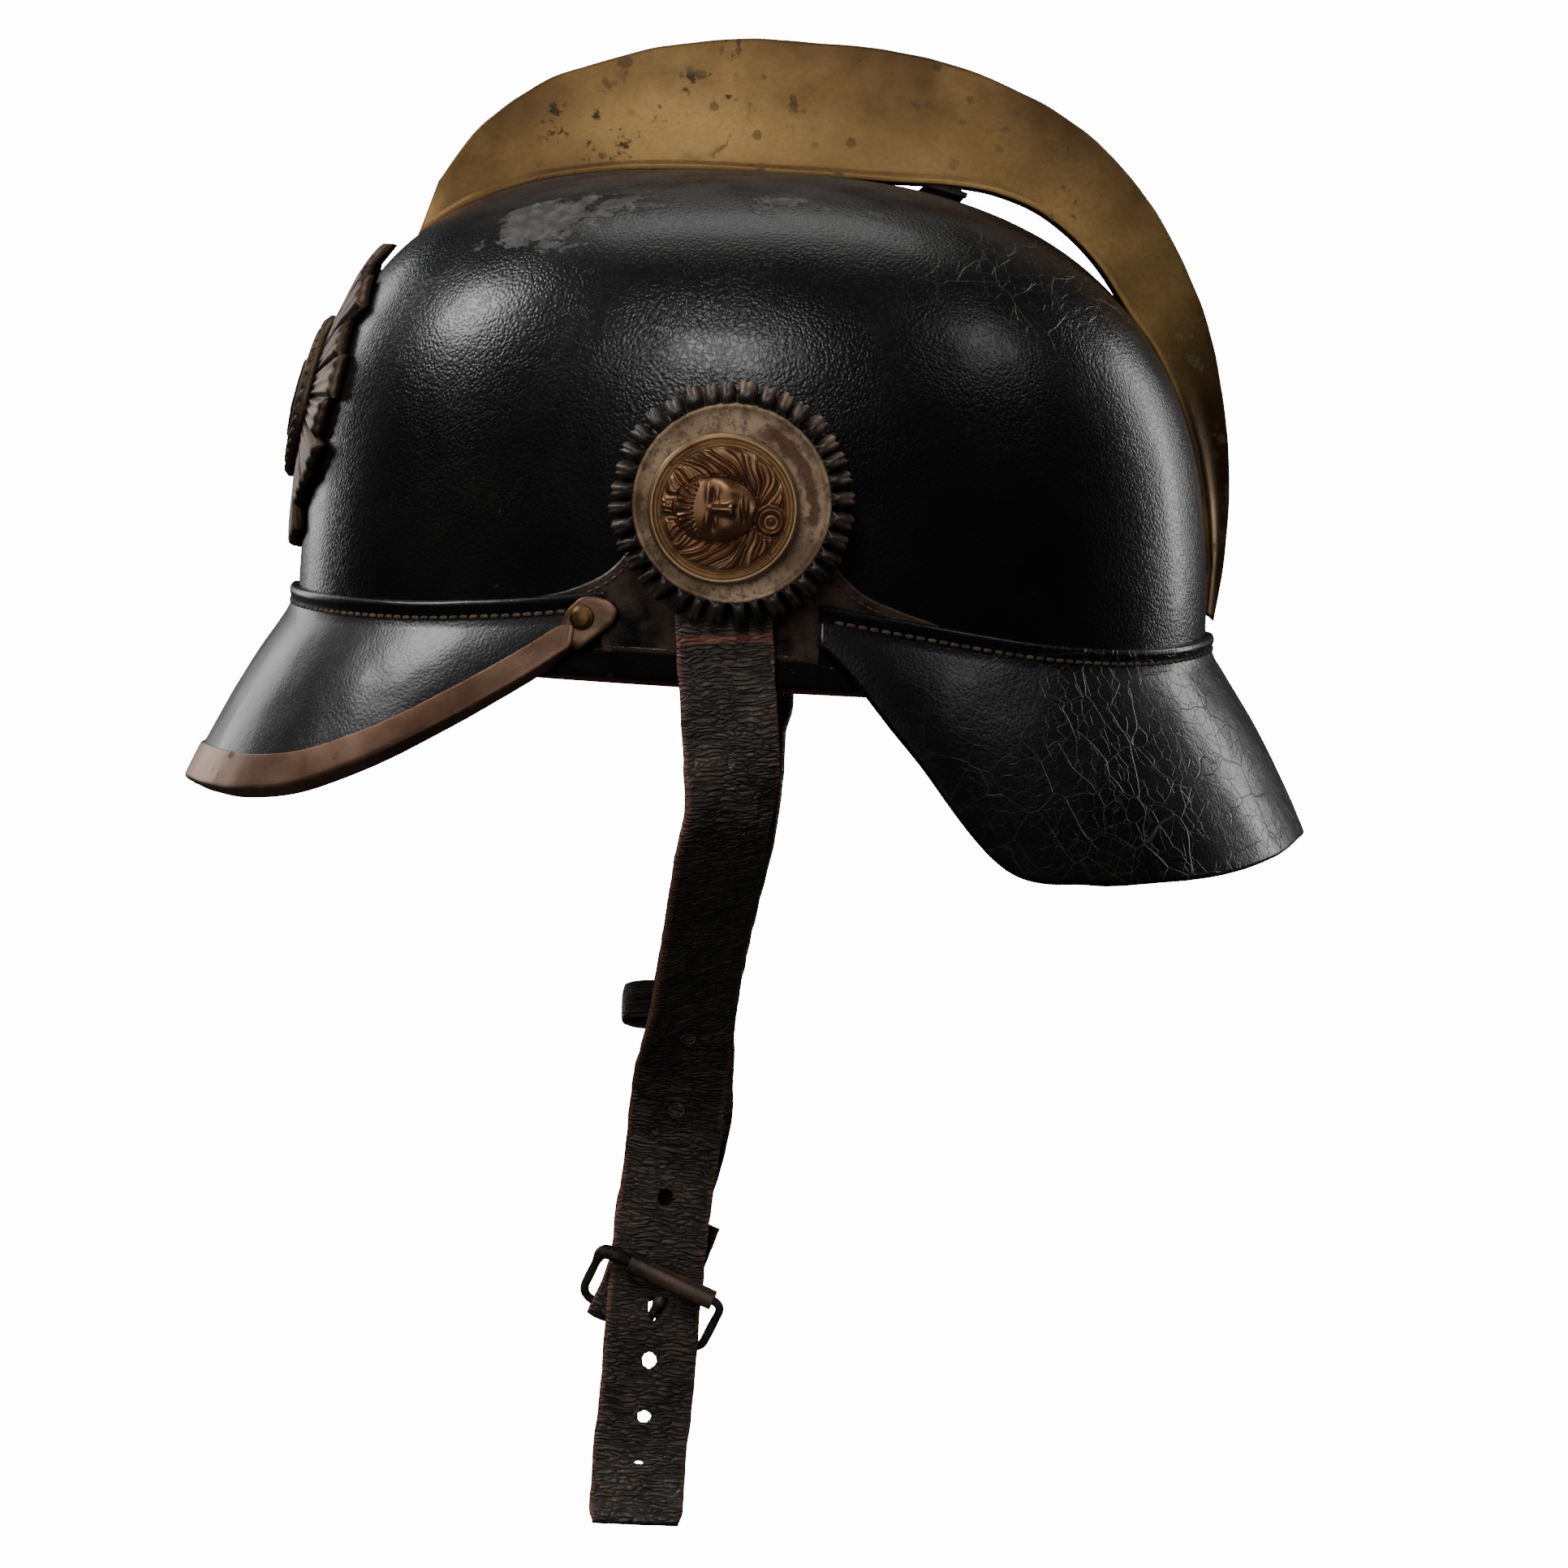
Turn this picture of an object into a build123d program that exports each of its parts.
"""Leather fire-brigade helmet with a brass comb, rosettes, peak, neck guard and buckled chin strap.

Millimetres. +Z is up, the front of the helmet points along -X, the wearer's left side along -Y.
The origin is the centre of the head opening, level with the bottom edge of the leather shell.
"""
import os
from math import atan2, copysign, cos, degrees, hypot, pi, radians, sin

from build123d import *

os.makedirs("parts", exist_ok=True)

# Shell
HEIGHT = 133.0            # top of the shell above the rim
CENTRE_X = 4.0            # where the front and rear halves of the plan meet
FRONT, REAR, SIDE = 126.6, 118.4, 98.0        # half lengths and half width of the plan
ROUND_PLAN = 2.15         # superellipse power of the plan
BULGE = {"front": (3.2, 3.5), "rear": (2.35, 3.0), "side": (2.8, 3.0)}
LEATHER = 3.0             # shell wall

# Peak and neck guard
PEAK_SPAN, GUARD_SPAN = 73.0, 84.5            # half spans round the rim, degrees
PEAK_REACH = (54.0, 52.2, 51.5, 50.6, 47.0, 38.5, 27.5, 15.5, 4.0)      # centre line to tip
GUARD_REACH = (53.6, 52.8, 54.4, 55.8, 56.4, 57.0, 55.0, 28.0, 4.0)
PEAK_LEATHER, LINING = 2.4, 1.0
TRIM_WIDTH, TRIM_SHEET = 10.0, 0.8
FLANGE_BACK = 0.45        # space between the shell and the flanges
LINING_GAP, TRIM_GAP = 0.2, 0.2

# Comb
COMB_RIDGE = ((-91.0, 125.5), (-78.0, 143.5), (-54.0, 158.3), (-12.0, 168.0), (33.0, 166.6),
              (66.0, 157.4), (89.0, 143.0), (107.8, 120.0), (119.8, 94.0), (126.2, 62.0), (126.6, 38.0),
              (124.6, 19.0))
COMB_SHEET = 0.8
COMB_GAP = 3.6            # daylight under the comb behind the crown

# Rosettes and strap pivots
ROSETTE_X, ROSETTE_Z = -6.0, 46.0
PIVOT_X, PIVOT_Z = -8.0, 44.5
PAD_FACE = 101.6          # distance of the pad's face from the centre plane
STRAP_WIDTH, STRAP_THICK = 24.5, 2.5
STRAP_LEAN = 2.6          # degrees the strap hangs forward
POST = 3.0                # radius of the rosette post

# Buckle, measured from the roller's axis
BUCKLE_TILT = 22.0
ROLLER_U, ROLLER_Y, ROLLER_Z = 2.6, -8.0, -166.8
ROLLER_RADIUS, ROLLER_LONG = 2.9, 24.8
BAR_Y, BAR_DROP = 1.7, 15.4
BAR_HALF = 18.0
PRONG_U = 2.0
WIRE = 1.2
TAIL_HINGE_Z = -197.0


def blend(values, t):
    """Smooth curve through evenly spaced values, t from 0 to 1."""
    n = len(values) - 1
    i = min(int(t * n), n - 1)
    u = t * n - i
    at = lambda k: values[max(0, min(n, k))]
    m0, m1 = (at(i + 1) - at(i - 1)) / 2, (at(i + 2) - at(i)) / 2
    return ((2 * u**3 - 3 * u**2 + 1) * at(i) + (u**3 - 2 * u**2 + u) * m0
            + (3 * u**2 - 2 * u**3) * at(i + 1) + (u**3 - u**2) * m1)


DOMES = {}


def shrink(z, which, off):
    n, m = BULGE[which]
    t = max(0.0, min(1.0, z / (HEIGHT + off)))
    return (1 - t**m) ** (1 / n)


def shell_point(angle, z, off=0.0):
    """Point of the shell surface moved out by off; angle 0 is the front, 90 the wearer's left."""
    c, s = cos(radians(angle)), sin(radians(angle))
    half = (FRONT + off) * shrink(z, "front", off) if c > 0 else (REAR + off) * shrink(z, "rear", off)
    wide = (SIDE + off) * shrink(z, "side", off)
    return Vector(CENTRE_X - half * copysign(abs(c) ** (2 / ROUND_PLAN), c),
                  -wide * copysign(abs(s) ** (2 / ROUND_PLAN), s), z)


def rim_frame(angle):
    """Rim point and the level outward direction there."""
    p = shell_point(angle, 0)
    a, b = shell_point(angle - 0.5, 0), shell_point(angle + 0.5, 0)
    t = (b - a).normalized()
    out = Vector(t.Y, -t.X, 0)
    if out.dot(p - Vector(CENTRE_X, 0, 0)) < 0:
        out = out * -1
    return p, out


def ring(z, off, level=None, count=40):
    """Closed plan outline of the shell at height z, moved out by off."""
    pts = [shell_point(360 * i / count, z if level is None else level, off) for i in range(count)]
    return Wire([Edge.make_spline([Vector(p.X, p.Y, z) for p in pts], periodic=True)])


def dome(off, bottom=-12.0):
    """Solid bounded by the shell surface moved out by off."""
    if off in DOMES:
        return DOMES[off]
    top = HEIGHT + off
    tilts = (12, 24, 36, 47, 57, 66, 73, 78.5, 83, 86.4, 88.7)
    levels = [bottom, bottom / 2, 0.0] + [top * sin(radians(a)) for a in tilts]
    DOMES[off] = Solid.make_loft([ring(z, off, max(z, 0.0)) for z in levels])
    return DOMES[off]


def skin(low, high):
    """Layer of the shell surface between two offsets."""
    return dome(high) - dome(low)


def plan_prism(off, z0, z1):
    return extrude(Face(ring(z0, off, 0.0)), amount=z1 - z0, dir=(0, 0, 1))


def poly_face(points):
    return Face(Wire.make_polygon([Vector(*p) if isinstance(p, tuple) else p for p in points], close=True))


def rim_loft(angles, section):
    """Loft closed sections standing round the rim; section(angle) gives (out, z) corners."""
    wires = []
    for a in angles:
        p, out = rim_frame(a)
        wires.append(Wire.make_polygon([p + out * o + Vector(0, 0, z) for o, z in section(a)], close=True))
    return Solid.make_loft(wires, ruled=True)


def span(limit, count):
    return [-limit + 2 * limit * i / (count - 1) for i in range(count)]


def side_prism(points, y0, y1):
    """Extrude an XZ outline along Y."""
    face = poly_face([(x, y0, z) for x, z in points])
    return extrude(face, amount=abs(y1 - y0), dir=(0, 1 if y1 > y0 else -1, 0))


def y_rod(x, z, radius, y0, y1):
    """Round rod along Y between two levels."""
    lo, hi = min(y0, y1), max(y0, y1)
    return Pos(x, (lo + hi) / 2, z) * Rot(90, 0, 0) * Cylinder(radius, hi - lo)


def both_sides(shape):
    return shape, mirror(shape, about=Plane.XZ)


parts = {}

# ------------------------------------------------------------------ shell and rim
outer, inner = dome(0.0), dome(-LEATHER)
below = Pos(0, 0, -50) * Box(400, 400, 100)
shell = (outer - inner) - below
post_hole = y_rod(PIVOT_X, PIVOT_Z, POST + 0.15, -130, 130)
COMB_STUDS = ((-62.0, 5.2), (6.0, 7.8), (44.0, 7.2))       # x along the comb, half width of the bracket
BADGE_STUDS = ((24.0, 66.0), (-24.0, 66.0))                # y, z of the badge studs
for y, z in BADGE_STUDS:
    shell -= Pos(-110, y, z) * Rot(0, 90, 0) * Cylinder(1.65, 60)
shell -= post_hole
parts["shell"] = shell

# The binding is taller only at the sides, where neither the peak nor the guard covers it.
BINDING_TOP, BINDING_SIDE_TOP = 3.0, 5.8
binding = plan_prism(1.5, -1.8, BINDING_SIDE_TOP) - plan_prism(-4.3, -1.8, BINDING_SIDE_TOP)
binding -= plan_prism(0.08, -0.1, 6.0) - plan_prism(-LEATHER - 0.08, -0.1, 6.0)
between = Pos(-9.75, 0, BINDING_TOP + 5) * Box(50.5, 260, 10)
binding -= (Pos(0, 0, BINDING_TOP + 5) * Box(300, 300, 10)) - between
parts["rim_binding"] = binding


# ------------------------------------------------------------------ peak
def peak_flange(t):
    return 16 - 1.2 * sin(pi * min(1, t / 0.75)) + 6.0 * max(0, (t - 0.6) / 0.4) ** 2


def guard_flange(t):
    return 16 - 3.0 * sin(pi * min(1, t / 0.95)) ** 2 + 5.5 * max(0, (t - 0.6) / 0.4) ** 2


def peak_slope(t):
    return radians(62 + 8 * t * t)


def guard_slope(t):
    return radians(59 + 9 * min(1, t / 0.6) ** 2)


def sheet(fold, slope, along, up, out0=2.6):
    """Point of a hanging sheet: distance along it from the fold and height above its outer face."""
    return (out0 + along * cos(slope) + up * sin(slope), fold - along * sin(slope) + up * cos(slope))


def flanged(flange, slope, reach, depth, thick):
    """Section of a flanged sheet: upright flange against the shell, stitch groove, fold, sloping sheet."""
    def section(t):
        top, d, length = flange(t), slope(t), reach(t)
        fold = top - depth
        start = (FLANGE_BACK + 0.35 - 2.6 + thick * sin(d)) / cos(d)
        under = sheet(fold, d, start, -thick)
        return [(FLANGE_BACK, top), (1.9, top), (2.4, top - 1.4), (1.8, fold + 2.4), (2.7, fold),
                sheet(fold, d, length, 0), sheet(fold, d, length, -thick), under, (FLANGE_BACK, under[1])]
    return section


peak_section = flanged(peak_flange, peak_slope, lambda t: blend(PEAK_REACH, t) - 0.9, 7.0, PEAK_LEATHER)
guard_section = flanged(guard_flange, guard_slope, lambda t: blend(GUARD_REACH, t), 6.5, PEAK_LEATHER)
peak_angles = span(PEAK_SPAN, 41)
guard_angles = [180 + a for a in span(GUARD_SPAN, 45)]
parts["front_peak"] = rim_loft(peak_angles, lambda a: peak_section(abs(a) / PEAK_SPAN))
parts["neck_guard"] = rim_loft(guard_angles, lambda a: guard_section(abs(a - 180) / GUARD_SPAN))


def lining(flange, slope, reach, depth, inset):
    def section(t):
        d, fold = slope(t), flange(t) - depth
        low, high = -PEAK_LEATHER - LINING_GAP, -PEAK_LEATHER - LINING_GAP - LINING
        start = (1.85 - 2.6 - high * sin(d)) / cos(d)
        end = max(start + 1.0, reach(t) - inset)
        return [sheet(fold, d, start, low), sheet(fold, d, end, low),
                sheet(fold, d, end, high), sheet(fold, d, start, high)]
    return section


peak_lining = lining(peak_flange, peak_slope, lambda t: blend(PEAK_REACH, t), 7.0, 1.2)
guard_lining = lining(guard_flange, guard_slope, lambda t: blend(GUARD_REACH, t), 6.5, 2.6)
parts["peak_lining"] = rim_loft(peak_angles[3:-3], lambda a: peak_lining(abs(a) / PEAK_SPAN))
parts["neck_guard_lining"] = rim_loft(guard_angles[3:-3], lambda a: guard_lining(abs(a - 180) / GUARD_SPAN))


def trim_section(a):
    """Brass channel folded over the edge of the peak."""
    t = abs(a) / PEAK_SPAN
    d, fold = peak_slope(t), peak_flange(t) - 7.0
    edge = blend(PEAK_REACH, t) - 0.9
    top_from = max(1.5, edge - TRIM_WIDTH)
    under = -PEAK_LEATHER - LINING_GAP - LINING - 0.2
    clear = (1.75 - 2.6 + (TRIM_SHEET - under) * sin(d)) / cos(d)
    low_from = min(max(clear, edge - 0.72 * TRIM_WIDTH), edge - 0.4)
    inner, outer = edge + TRIM_GAP, edge + TRIM_GAP + TRIM_SHEET
    corners = ((top_from, TRIM_GAP), (inner, TRIM_GAP), (inner, under), (low_from, under),
               (low_from, under - TRIM_SHEET), (outer, under - TRIM_SHEET), (outer, TRIM_GAP + TRIM_SHEET),
               (top_from, TRIM_GAP + TRIM_SHEET))
    return [sheet(fold, d, u, v) for u, v in corners]


# The tab is the pointed end of the trim, lying against the flange under its rivet. Its edge is given
# as distance to the rear of the rivet and height above it.
TAB_ANGLE, TAB_Z = 70.5, 14.6
TAB_TOP = ((-4.2, 1.4), (-0.7, 4.9), (2.2, 5.4), (6.3, 4.6), (8.7, 2.3))
TAB_LOW = ((-4.2, 1.0), (-3.6, -2.6), (1.6, -6.4), (4.5, -3.8), (7.7, -0.9), (8.7, 1.9))
PER_DEGREE = (rim_frame(TAB_ANGLE + 1)[0] - rim_frame(TAB_ANGLE)[0]).length
trim = rim_loft(peak_angles[1:-1], trim_section)


def between_points(points, x):
    """Height of a broken line at x."""
    for (x0, y0), (x1, y1) in zip(points, points[1:]):
        if x <= x1:
            return y0 + (y1 - y0) * (x - x0) / (x1 - x0)
    return points[-1][1]


def tab_section(a):
    across = (abs(a) - TAB_ANGLE) * PER_DEGREE
    high, low = TAB_Z + between_points(TAB_TOP, across), TAB_Z + between_points(TAB_LOW, across)
    return [(2.75, high), (2.75, low), (3.6, low), (3.6, high)]


def under_sheet(a):
    """Everything below the outer face of the peak's sloping sheet."""
    t = abs(a) / PEAK_SPAN
    d, fold = peak_slope(t), peak_flange(t) - 7.0
    top, low = sheet(fold, d, -0.5, TRIM_GAP), sheet(fold, d, 16, TRIM_GAP)
    return [(0, top[1]), top, low, (0, low[1])]


across_tab = sorted({x for x, _ in TAB_TOP + TAB_LOW})
for sign in (1, -1):
    tab = rim_loft([sign * (TAB_ANGLE + x / PER_DEGREE) for x in across_tab], tab_section)
    tab -= rim_loft([sign * a for a in peak_angles[-4:]], under_sheet)
    trim = trim + tab
parts["peak_trim"] = trim - plan_prism(1.7, -1.8, BINDING_TOP + 0.15)

rivets = []
for sign in (1, -1):
    p, out = rim_frame(sign * TAB_ANGLE)
    heading = degrees(atan2(out.Y, out.X))
    seat = Pos(p.X, p.Y, TAB_Z) * Rot(0, 0, heading) * Pos(4, 0, 0) * Rot(0, 90, 0)
    hole = seat * Cylinder(1.3, 16)
    parts["peak_trim"] -= hole
    parts["peak_trim"] -= seat * Pos(0, 0, 2.62) * Cylinder(3.5, 6)
    parts["front_peak"] -= hole
    parts["shell"] -= hole
    turning = make_face(Polyline((0, 0, -4.2), (2.4, 0, -4.2), (2.4, 0, -3.3), (1.2, 0, -3.3),
                                 (1.2, 0, 3.65), (3.4, 0, 3.65), (3.1, 0, 4.7), (2.0, 0, 5.4), (0, 0, 5.7),
                                 close=True))
    rivets.append(Pos(p.X, p.Y, TAB_Z) * Rot(0, 0, heading) * Rot(0, 90, 0) * revolve(turning, axis=Axis.Z))
parts["peak_trim_rivets"] = Compound(children=rivets)


# ------------------------------------------------------------------ comb
def ridge_curve():
    return Edge.make_spline([Vector(x, 0, z) for x, z in COMB_RIDGE])


def profile_z(x):
    """Height of the shell's centre line at x."""
    half, which = (FRONT, "front") if x < CENTRE_X else (REAR, "rear")
    n, m = BULGE[which]
    u = min(1.0, abs(x - CENTRE_X) / half)
    return HEIGHT * (1 - u**n) ** (1 / m)


def base_curve():
    """Centre line of the shell from the front of the comb to its rear, slightly clear of the leather."""
    pts = []
    for i in range(25):
        a = radians(144.6 - 151.6 * i / 24)
        lo, hi = 10.0, 170.0
        for _ in range(40):
            r = (lo + hi) / 2
            x, z = 10 + r * cos(a), 35 + r * sin(a)
            inside = z < (profile_z(x) if -122 < x < 122.2 else -1)
            lo, hi = (r, hi) if inside else (lo, r)
        open_at = min(1.0, max(0.0, (i / 24 - 0.44) / 0.26))
        gap = 0.35 + COMB_GAP * sin(pi * open_at) ** 1.5
        pts.append(Vector(10 + (lo + gap) * cos(a), 0, 35 + (lo + gap) * sin(a)))
    return Edge.make_spline(pts)


def comb_half(side):
    base, ridge = base_curve(), ridge_curve()
    wires = []
    count = 31
    for i in range(count):
        t = i / (count - 1)
        b, r = base @ t, ridge @ t
        up = r - b
        tall = max(up.length, 2.6)
        up = up.normalized() if up.length > 1.0 else (b - Vector(10, 0, 35)).normalized()
        w = 4.5 + 6.5 * sin(pi * min(1, t * 1.04)) ** 0.8
        at = lambda y, h: b + Vector(0, side * y, 0) + up * h
        s = COMB_SHEET
        ridge_y = 1.3
        waist = ridge_y + (w - ridge_y) * 0.40
        corners = [at(w, 0), at(w + 1.0, 0), at(w + 1.0, min(1.6, tall * 0.3)),
                   at(w + 0.2, min(2.2, tall * 0.45)), at(waist + 0.1, tall * 0.55), at(ridge_y, tall - 0.5),
                   at(0.9, tall), at(0.04, tall), at(0.04, tall - 1.0), at(ridge_y - s * 0.9, tall - 1.2),
                   at(waist - s, tall * 0.55)]
        wires.append(Wire.make_polygon(corners, close=True))
    return Solid.make_loft(wires)


parts["comb_left"], parts["comb_right"] = comb_half(-1), comb_half(1)


def hex_nut(radius, height, bore):
    return extrude(RegularPolygon(radius, 6), amount=height) - Cylinder(bore, 4 * height)


studs, nuts, washers, brackets = [], [], [], []
for x, half in COMB_STUDS:
    slope = degrees(atan2(profile_z(x + 1) - profile_z(x - 1), 2))
    seat = Pos(x, 0, profile_z(x)) * Rot(0, -slope, 0)
    bracket = seat * Pos(0, 0, 1.7) * Box(14, 2 * half, 1.2)
    for y in (0.45 - half, half - 0.45):
        bracket += seat * Pos(0, y, 4.2) * Box(10, 0.9, 5.0)
    brackets.append(bracket - seat * Cylinder(1.7, 30))
    parts["shell"] -= seat * Cylinder(1.65, 24)
    studs.append(seat * Pos(0, 0, -2.6) * Cylinder(1.5, 12.4) + seat * Pos(0, 0, 3.5) * Cylinder(2.9, 2.3))
    washers.append(seat * Pos(0, 0, -LEATHER - 0.9) * (Cylinder(4.6, 0.8) - Cylinder(1.65, 2)))
    nuts.append(seat * Pos(0, 0, -LEATHER - 3.9) * hex_nut(3.2, 2.4, 1.52))
parts["comb_brackets"] = Compound(children=brackets)
parts["comb_studs"] = Compound(children=studs)
parts["comb_washers"] = Compound(children=washers)
parts["comb_nuts"] = Compound(children=nuts)


# ------------------------------------------------------------------ front badge
BADGE_Z, BADGE_RAYS = 66.0, 18
BADGE_TALL, BADGE_WIDE = 42.0, 34.0
front_half = Pos(-100, 0, 65) * Box(70, 90, 110)


def front_x(y, z, off):
    """Where the front of the shell, moved out by off, lies at (y, z)."""
    half = (FRONT + off) * shrink(z, "front", off)
    wide = (SIDE + off) * shrink(z, "side", off)
    return CENTRE_X - half * (1 - (abs(y) / wide) ** ROUND_PLAN) ** (1 / ROUND_PLAN)


def badge_reach(angle):
    """Distance from the badge centre to its outline at an angle from the vertical."""
    return 1 / hypot(cos(angle) / BADGE_TALL, sin(angle) / BADGE_WIDE)


def ray_outline(short):
    """Stepped starburst: every second ray is shorter."""
    pts = []
    for i in range(BADGE_RAYS):
        mid = 2 * pi * i / BADGE_RAYS
        reach = badge_reach(mid) * (short if i % 2 else 1.0)
        pts += [(reach * sin(mid + e), reach * cos(mid + e)) for e in (-0.165, 0.165)]
    return pts


def front_prism(points):
    face = poly_face([(-150, y, BADGE_Z + z) for y, z in points])
    return extrude(face, amount=70, dir=(1, 0, 0))


def front_layer(low, high):
    return (dome(high) & front_half) - dome(low)


def oval(half_y, half_z, count=40):
    return [(half_y * sin(2 * pi * i / count), half_z * cos(2 * pi * i / count)) for i in range(count)]


badge = front_layer(1.2, 2.4) & front_prism(ray_outline(0.90))
ribs = []
for i in range(0, BADGE_RAYS, 2):
    mid, half = 2 * pi * i / BADGE_RAYS, 0.12
    reach = badge_reach(mid) * 0.985
    ribs.append(front_prism([(r * sin(mid + e), r * cos(mid + e))
                             for r, e in ((12, -half), (reach, -half), (reach, half), (12, half))]))
rib_layer = front_layer(2.3, 3.6) & front_prism(oval(BADGE_WIDE, BADGE_TALL))
badge += rib_layer & Compound(children=ribs)
for y, z in BADGE_STUDS:
    seat = front_x(y, z, 1.8)
    badge += Pos(seat + 6.5, y, z) * Rot(0, 90, 0) * Cylinder(1.4, 13)
parts["badge_plate"] = badge
boss = front_layer(3.7, 5.2) & front_prism(oval(17, 22))
frame = front_prism(oval(17, 22)) - front_prism(oval(12.5, 17))
emblem = front_prism([(0, 12), (8, 10), (8, 0), (5, -8), (0, -12), (-5, -8), (-8, 0), (-8, 10)])
relief = front_layer(5.1, 6.3)
parts["badge_boss"] = boss + (relief & frame) + (relief & emblem)
badge_nuts = []
for y, z in BADGE_STUDS:
    wall = max(front_x(y - 3, z, -LEATHER), front_x(y + 3, z, -LEATHER))
    badge_nuts.append(Pos(wall + 0.3, y, z) * Rot(0, 90, 0) * hex_nut(3.2, 2.4, 1.45))
parts["badge_nuts"] = Compound(children=badge_nuts)


# ------------------------------------------------------------------ side patches, pads and rosettes
PATCH = [(-60, 19.5), (-40, 24), (-30, 32), (-27, 44), (-22, 58), (-6, 66), (10, 58), (15, 44), (20, 33),
         (32, 24.5), (52, 18.5), (52, 6.2), (-60, 6.2)]
side_half = Pos(0, -85, 40) * Box(140, 60, 80)
patch = ((dome(1.6) & side_half) - dome(0.1)) & side_prism(PATCH, -110, -60)
patch -= post_hole
under_peak = [44 + 2.35 * i for i in range(14)], lambda a: peak_flange(min(1.0, a / PEAK_SPAN))
under_guard = [93.8 + 2.4 * i for i in range(14)], lambda a: guard_flange(min(1.0, (180 - a) / GUARD_SPAN))
for angles, top in (under_peak, under_guard):
    patch -= rim_loft(angles, lambda a: [(-4, 2), (5, 2), (5, top(a) + 0.5), (-4, top(a) + 0.5)])
parts["side_patch_left"], parts["side_patch_right"] = both_sides(patch)

pad = y_rod(ROSETTE_X, ROSETTE_Z, 27.0, -86, -PAD_FACE) - dome(1.7) - post_hole
pad -= Pos(ROSETTE_X, -95, 10) * Box(80, 40, 22)
parts["rosette_pad_left"], parts["rosette_pad_right"] = both_sides(pad)


def turned(x, z, face, profile):
    """Solid of revolution about a line along -Y; profile gives (radius, height over face)."""
    outline = Polyline(*[(r, h, 0) for r, h in profile], close=True)
    solid = revolve(make_face(outline), axis=Axis.Y, revolution_arc=360)
    return Pos(x, -face, z) * Rot(180, 0, 0) * solid


RING_FACE = PAD_FACE + 0.2 + STRAP_THICK + 0.2
crimped = turned(ROSETTE_X, ROSETTE_Z, RING_FACE,
                 [(21.5, 0), (31, 0), (31, 2.2), (29.9, 4.3), (27.6, 5.0), (25.8, 4.6), (25.6, 3.2),
                  (21.5, 3.2)])
flutes = []
for i in range(36):
    a = 10 * i
    flutes.append(Pos(ROSETTE_X, -RING_FACE - 5.3, ROSETTE_Z) * Rot(0, a, 0) * Pos(30, 0, 0)
                  * Rot(0, 90, 0) * Cylinder(1.0, 6))
crimped -= Compound(children=flutes)
parts["rosette_ring_left"], parts["rosette_ring_right"] = both_sides(crimped)

disc = turned(ROSETTE_X, ROSETTE_Z, RING_FACE + 3.3,
              [(0, 0), (25.2, 0), (25.2, 1.9), (24.2, 1.9), (23.4, 1.1), (0, 1.1)])
disc -= post_hole
parts["rosette_disc_left"], parts["rosette_disc_right"] = both_sides(disc)

COLLAR = RING_FACE + 4.45
post = y_rod(PIVOT_X, PIVOT_Z, POST, -87.4, -COLLAR - 3.6)
post += y_rod(PIVOT_X, PIVOT_Z, 6.5, -COLLAR, -COLLAR - 1.0)
post += y_rod(PIVOT_X, PIVOT_Z, 4.5, -COLLAR - 2.6, -COLLAR - 3.6)
parts["rosette_posts"] = Compound(children=list(both_sides(post)))
nut = Pos(PIVOT_X, -88.5, PIVOT_Z) * Rot(90, 0, 0) * hex_nut(6.0, 2.4, POST + 0.05)
washer = y_rod(PIVOT_X, PIVOT_Z, 8.0, -91.0, -92.0) - post_hole
parts["rosette_nuts"] = Compound(children=list(both_sides(nut)))
parts["rosette_washers"] = Compound(children=list(both_sides(washer)))

medallion = turned(PIVOT_X, PIVOT_Z, COLLAR + 1.15,
                   [(3.2, 0), (19.2, 0), (19.2, 2.4), (18.4, 3.3), (17.2, 3.2), (16.4, 2.0), (12, 3.6),
                    (7, 4.7), (0, 5.2), (0, 3.0), (5.0, 3.0), (5.0, 1.2), (3.2, 1.2)])
head = Pos(PIVOT_X, -COLLAR - 4.4, PIVOT_Z) * scale(Sphere(1), by=(9.5, 4.2, 7.0))
medallion += head - y_rod(PIVOT_X, PIVOT_Z, 10, -COLLAR - 4.5, -90)
parts["medallion_left"], parts["medallion_right"] = both_sides(medallion)


# ------------------------------------------------------------------ lining of the head opening
LINER_A, LINER_B, LINER_TOP = 112.0, 88.0, 93.0
band_outer = loft([Face(ring(1.0, -4.6, 0.0)), Face(ring(38.0, -8.0, 0.0))])
band_inner = loft([Face(ring(1.0, -6.2, 0.0)), Face(ring(38.0, -9.6, 0.0))])
parts["sweatband"] = band_outer - band_inner


def liner_solid(off):
    """Domed solid of elliptical sections; its top is cut open at LINER_TOP."""
    faces = []
    for z in (24, 34, 44, 54, 64, 74, 83, LINER_TOP):
        s = (1 - max(0.0, (z - 34) / 66) ** 2) ** 0.5
        faces.append(Wire([Edge.make_ellipse(LINER_A * s + off, LINER_B * s + off, Plane.XY.offset(z))]))
    return Solid.make_loft(faces)


cap = liner_solid(-1.0) - liner_solid(-2.4)
s_top = (1 - ((LINER_TOP - 34) / 66) ** 2) ** 0.5
cord_a, cord_b = LINER_A * s_top - 1.7, LINER_B * s_top - 1.7


def oval_tube(radius):
    path = Edge.make_ellipse(cord_a, cord_b, Plane.XY.offset(LINER_TOP + 1.2))
    return sweep(Plane(origin=path @ 0, z_dir=path % 0) * Circle(radius), path=path)


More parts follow.
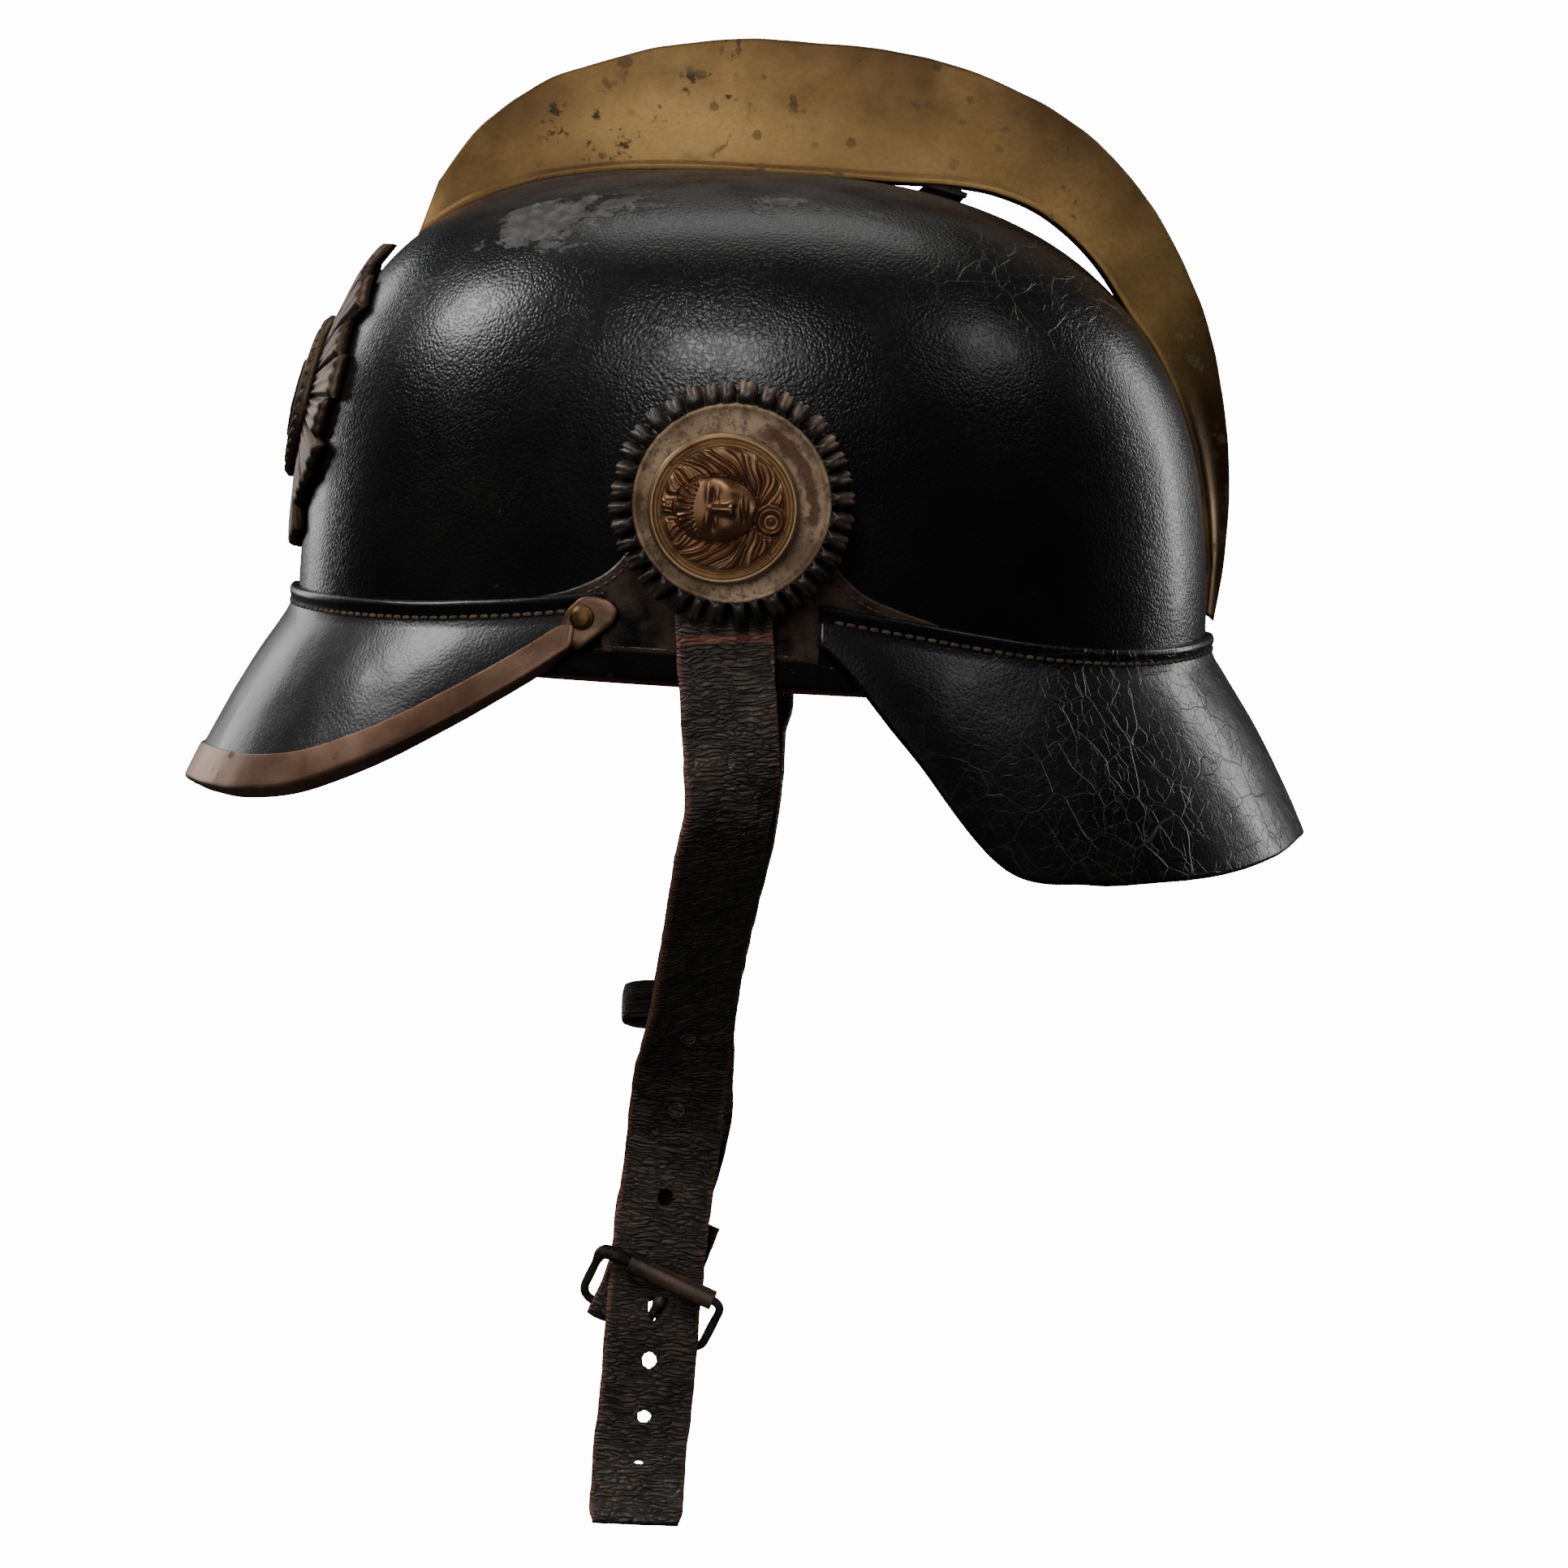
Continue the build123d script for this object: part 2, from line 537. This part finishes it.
cap = cap + (oval_tube(2.7) - oval_tube(1.4))
gaps = []
TONGUES = 8
for i in range(TONGUES):
    a = 360 * (i + 0.5) / TONGUES
    cutter = Plane.XZ * Polygon((28, 34), (130, 34), (130, -27), (92, -27), (60, 10), align=None)
    gaps.append(Pos(0, 0, 70) * Rot(0, 0, a) * extrude(cutter, amount=1.6, both=True))
cap -= Compound(children=gaps)
parts["liner"] = cap
parts["drawcord"] = oval_tube(1.15)


# ------------------------------------------------------------------ chin strap
def lean(shape):
    """Hang a shape drawn upright on the strap pivots forward by the strap's lean."""
    return Pos(PIVOT_X, 0, PIVOT_Z) * Rot(0, STRAP_LEAN, 0) * Pos(-PIVOT_X, 0, -PIVOT_Z) * shape


def ribbon(points, radius, width, thick):
    """Flat strap following a rounded line in the YZ plane."""
    path = FilletPolyline(*[(PIVOT_X, y, z) for y, z in points], radius=radius)
    start = Plane(origin=path @ 0, x_dir=(1, 0, 0), z_dir=path % 0)
    return sweep(start * Rectangle(width, thick), path=path)


STRAP_Y = PAD_FACE + 0.2 + STRAP_THICK / 2
NEAR_Y, FAR_Y = -3.5, 4.3
near = ribbon([(-STRAP_Y, 57), (-STRAP_Y, -30), (NEAR_Y, -127), (NEAR_Y, TAIL_HINGE_Z + 1.35)], 25,
              STRAP_WIDTH, STRAP_THICK)
for z in (-99, -120, -145, -191):
    near -= y_rod(PIVOT_X, z, 2.1, -60, 0)
near -= Pos(PIVOT_X, -100, -20) * Box(1.6, 20, 5)
near -= y_rod(PIVOT_X, PIVOT_Z, POST + 0.4, -110, -90)

far = ribbon([(STRAP_Y, 57), (STRAP_Y, -30), (FAR_Y, -126.5), (FAR_Y, -156)], 25, STRAP_WIDTH, STRAP_THICK)
far -= y_rod(PIVOT_X, PIVOT_Z, POST + 0.4, 90, 110)

tail_top = Pos(PIVOT_X, NEAR_Y, TAIL_HINGE_Z) * Rot(0, 90, 0) * Cylinder(STRAP_THICK / 2, STRAP_WIDTH)
tail = tail_top + Pos(PIVOT_X, NEAR_Y, TAIL_HINGE_Z - 17.5) * Box(STRAP_WIDTH, STRAP_THICK, 35)
tail -= y_rod(PIVOT_X, -206, 2.1, -20, 10)
tail -= Pos(PIVOT_X, NEAR_Y, -218) * Box(1.6, 10, 5)

crossing = PIVOT_X - (PIVOT_Z - ROLLER_Z) * sin(radians(STRAP_LEAN))
buckle = Pos(crossing + 3.4, 0, ROLLER_Z) * Rot(0, BUCKLE_TILT, 0)


def u_rod(u, y, v, radius, length):
    """Rod along the buckle's bars."""
    return Pos(u, y, v) * Rot(0, 90, 0) * Cylinder(radius, length)


wire_frame = u_rod(0, ROLLER_Y, 0, WIRE, 2 * BAR_HALF) + u_rod(0, BAR_Y, -BAR_DROP, WIRE, 2 * BAR_HALF)
arm_tilt = degrees(atan2(BAR_Y - ROLLER_Y, BAR_DROP))
arm = Rot(arm_tilt, 0, 0) * Cylinder(WIRE, hypot(BAR_Y - ROLLER_Y, BAR_DROP))
for u in (-BAR_HALF, BAR_HALF):
    wire_frame += Pos(u, (ROLLER_Y + BAR_Y) / 2, -BAR_DROP / 2) * arm
    wire_frame += Pos(u, ROLLER_Y, 0) * Sphere(WIRE) + Pos(u, BAR_Y, -BAR_DROP) * Sphere(WIRE)
parts["buckle_frame"] = buckle * wire_frame
sleeve = u_rod(ROLLER_U, ROLLER_Y, 0, ROLLER_RADIUS, ROLLER_LONG) - u_rod(ROLLER_U, ROLLER_Y, 0, 1.3, 30)
parts["buckle_roller"] = buckle * sleeve

reach_y, reach_v = -9.2, 10.5
reach = hypot(reach_y, reach_v)
prong = u_rod(PRONG_U, BAR_Y, -BAR_DROP, 2.3, 2.4)
lie = Pos(PRONG_U, BAR_Y, -BAR_DROP) * Rot(-degrees(atan2(reach_y, reach_v)), 0, 0)
prong += lie * Pos(0, 0, (reach + 1) / 2) * Cylinder(1.0, reach - 1)
prong += lie * Pos(0, 0, reach) * Sphere(1.0)
prong -= u_rod(PRONG_U, BAR_Y, -BAR_DROP, WIRE + 0.12, 6)
parts["buckle_prong"] = buckle * prong

slot = buckle * Pos(PRONG_U, -3.5, -9.6) * Box(3.2, 4.0, 9.6)
near_leaned = lean(near) - slot
parts["strap_left_upper"] = near_leaned
parts["strap_left_tail"] = lean(tail)

FOLD_U = -2.0
legs = Pos(FOLD_U, 4.3, (15 - BAR_DROP) / 2) * Box(STRAP_WIDTH, STRAP_THICK, 15 + BAR_DROP)
bend = u_rod(FOLD_U, BAR_Y, -BAR_DROP, 3.85, STRAP_WIDTH)
bend -= u_rod(FOLD_U, BAR_Y, -BAR_DROP, 1.35, STRAP_WIDTH + 2)
bend -= Pos(FOLD_U, BAR_Y, -BAR_DROP + 10) * Box(STRAP_WIDTH + 2, 20, 20)
flap_line = ((-2.15, -BAR_DROP), (0.35, -BAR_DROP), (0.35, -5.2), (3.0, -1.0), (3.0, 17), (0.5, 17),
             (0.5, -0.4), (-2.15, -4.4))
flap_face = poly_face([(FOLD_U - STRAP_WIDTH / 2, y, v) for y, v in flap_line])
flap = extrude(flap_face, amount=STRAP_WIDTH, dir=(1, 0, 0))
fold = legs + bend + flap
fold -= Pos(PRONG_U, BAR_Y - 1.0, -BAR_DROP + 1.6) * Box(3.4, 14, 12.4)
rivet_holes = [Pos(FOLD_U, 0, v) * Rot(90, 0, 0) * Cylinder(1.4, 30) for v in (4.5, 12.5)]
fold -= Compound(children=rivet_holes)
parts["strap_right"] = (lean(far) + buckle * fold) - buckle * Compound(children=rivet_holes)
strap_rivets = []
for v in (4.5, 12.5):
    rivet = Pos(FOLD_U, 3.0, v) * Rot(90, 0, 0) * Cylinder(1.3, 6.0)
    for y in (5.95, 0.1):
        rivet += Pos(FOLD_U, y, v) * Rot(90, 0, 0) * Cylinder(2.6, 0.7)
    strap_rivets.append(buckle * rivet)
parts["strap_rivets"] = Compound(children=strap_rivets)

KEEPER_Z = -97.0
run = (KEEPER_Z + 30) / (-96.5)
slide = degrees(atan2(STRAP_Y - FAR_Y, 96.5))
keeper = Box(28.7, 6.9, 13) - Box(25.7, 3.9, 20)
keeper = Pos(PIVOT_X, STRAP_Y - (STRAP_Y - FAR_Y) * run, KEEPER_Z) * Rot(-slide, 0, 0) * keeper
parts["keeper_loop"] = lean(keeper)

for name, shape in parts.items():
    export_step(shape, f"parts/{name}.step")
